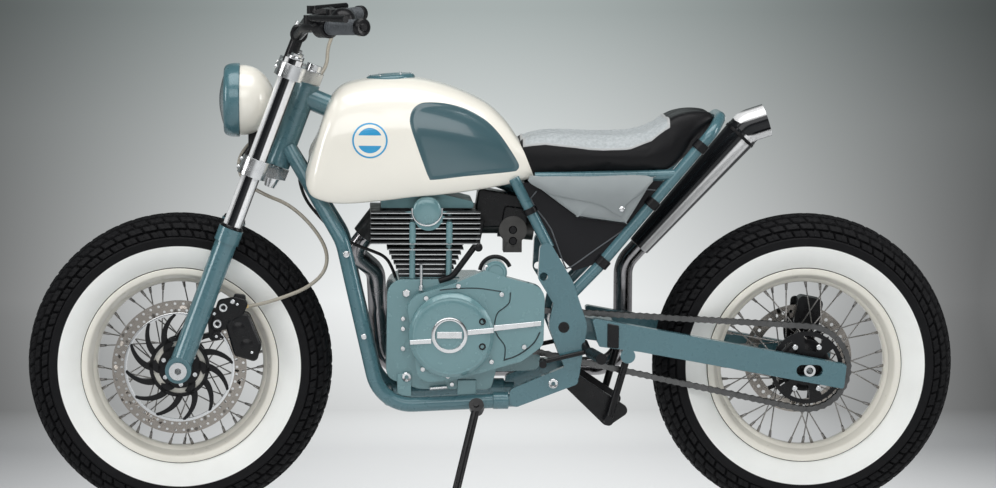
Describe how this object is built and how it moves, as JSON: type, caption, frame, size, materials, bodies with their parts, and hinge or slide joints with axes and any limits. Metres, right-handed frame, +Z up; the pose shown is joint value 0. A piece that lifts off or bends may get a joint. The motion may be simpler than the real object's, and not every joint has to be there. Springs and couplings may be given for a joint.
{
  "type": "cafe racer motorcycle",
  "caption": "Cafe racer motorcycle leaning on its side stand: steering fork, wire wheels, single engine, long fuel tank, low quilted seat and high silencer.",
  "frame": {"origin": "centre of the whole object seen from above, on the ground that the tyres and the side stand rest on", "axes": "+X from the front wheel to the back wheel, +Y to the rider's right, +Z up; the bike leans 7 degrees to its left"},
  "size_m": [2.0199, 0.8138, 1.1436],
  "materials": {
    "bag_leather": "grey leather",
    "black_metal": "satin black",
    "black_panel": "satin black",
    "chain_steel": "oiled dark steel",
    "chrome": "polished",
    "cover_teal": "satin teal-grey paint",
    "cream_paint": "gloss cream paint",
    "cream_rim": "gloss cream paint",
    "fork_teal": "gloss teal-grey paint",
    "grip_rubber": "moulded rubber",
    "hose_rubber": "smooth rubber",
    "machined_aluminium": "machined",
    "seat_cover": "black leather with a quilted silver top",
    "steel": "ground steel",
    "teal_frame": "gloss teal-grey paint",
    "tyre_rubber": "black rubber with a broad white side wall"
  },
  "bodies": {
    "chassis": {"frame_spine": "teal_frame", "frame_cradle": "teal_frame", "pivot_plates": "teal_frame", "subframe": "teal_frame", "swingarm": "teal_frame", "swingarm_pin": "black_metal", "suspension_link": "black_metal", "rear_axle": "steel", "engine_case": "teal_frame", "clutch_cover": "cover_teal", "cylinder_barrel": "black_metal", "cylinder_head": "teal_frame", "carburettor": "black_metal", "exhaust_pipe": "chrome", "silencer": "chrome", "fuel_tank": "cream_paint", "fuel_cap": "machined_aluminium", "seat": "seat_cover", "side_panels": "black_panel", "side_bag": "bag_leather", "drive_chain": "chain_steel", "front_sprocket": "black_metal", "rear_caliper": "black_metal", "footpegs": "black_metal", "stand_bracket": "black_metal", "control_cable": "hose_rubber"},
    "steering": {"fork_tubes": "chrome", "fork_sliders": "fork_teal", "top_yoke": "machined_aluminium", "lower_yoke": "machined_aluminium", "handlebar": "black_metal", "grips": "grip_rubber", "control_levers": "black_metal", "front_axle": "steel", "front_caliper": "black_metal", "brake_hose": "hose_rubber", "headlamp_shell": "cream_paint", "headlamp_rim": "machined_aluminium", "headlamp_stay": "black_metal"},
    "front_wheel": {"front_tyre": "tyre_rubber", "front_rim": "cream_rim", "front_hub": "black_metal", "front_disc": "steel"},
    "rear_wheel": {"rear_tyre": "tyre_rubber", "rear_rim": "cream_rim", "rear_hub": "black_metal", "rear_disc": "steel", "rear_sprocket": "black_metal"},
    "side_stand": {"side_stand": "black_metal"}
  },
  "joints": [
    {"name": "steering", "type": "hinge", "parent": "chassis", "child": "steering", "pos_m": [-0.43554, 0.02667, 0.84659], "axis": [0.3502, -0.1142, 0.9297], "range_deg": [-35, 35]},
    {"name": "front_wheel_spin", "type": "hinge", "parent": "steering", "child": "front_wheel", "pos_m": [-0.68, 0.09034, 0.328], "axis": [0, 0.9925, 0.1219], "continuous": true},
    {"name": "rear_wheel_spin", "type": "hinge", "parent": "chassis", "child": "rear_wheel", "pos_m": [0.68, 0.09034, 0.328], "axis": [0, 0.9925, 0.1219], "continuous": true},
    {"name": "side_stand_fold", "type": "hinge", "parent": "chassis", "child": "side_stand", "pos_m": [-0.04, -0.03538, 0.236], "axis": [-0.1138, -0.8627, 0.4928], "range_deg": [0, 100]}
  ]
}
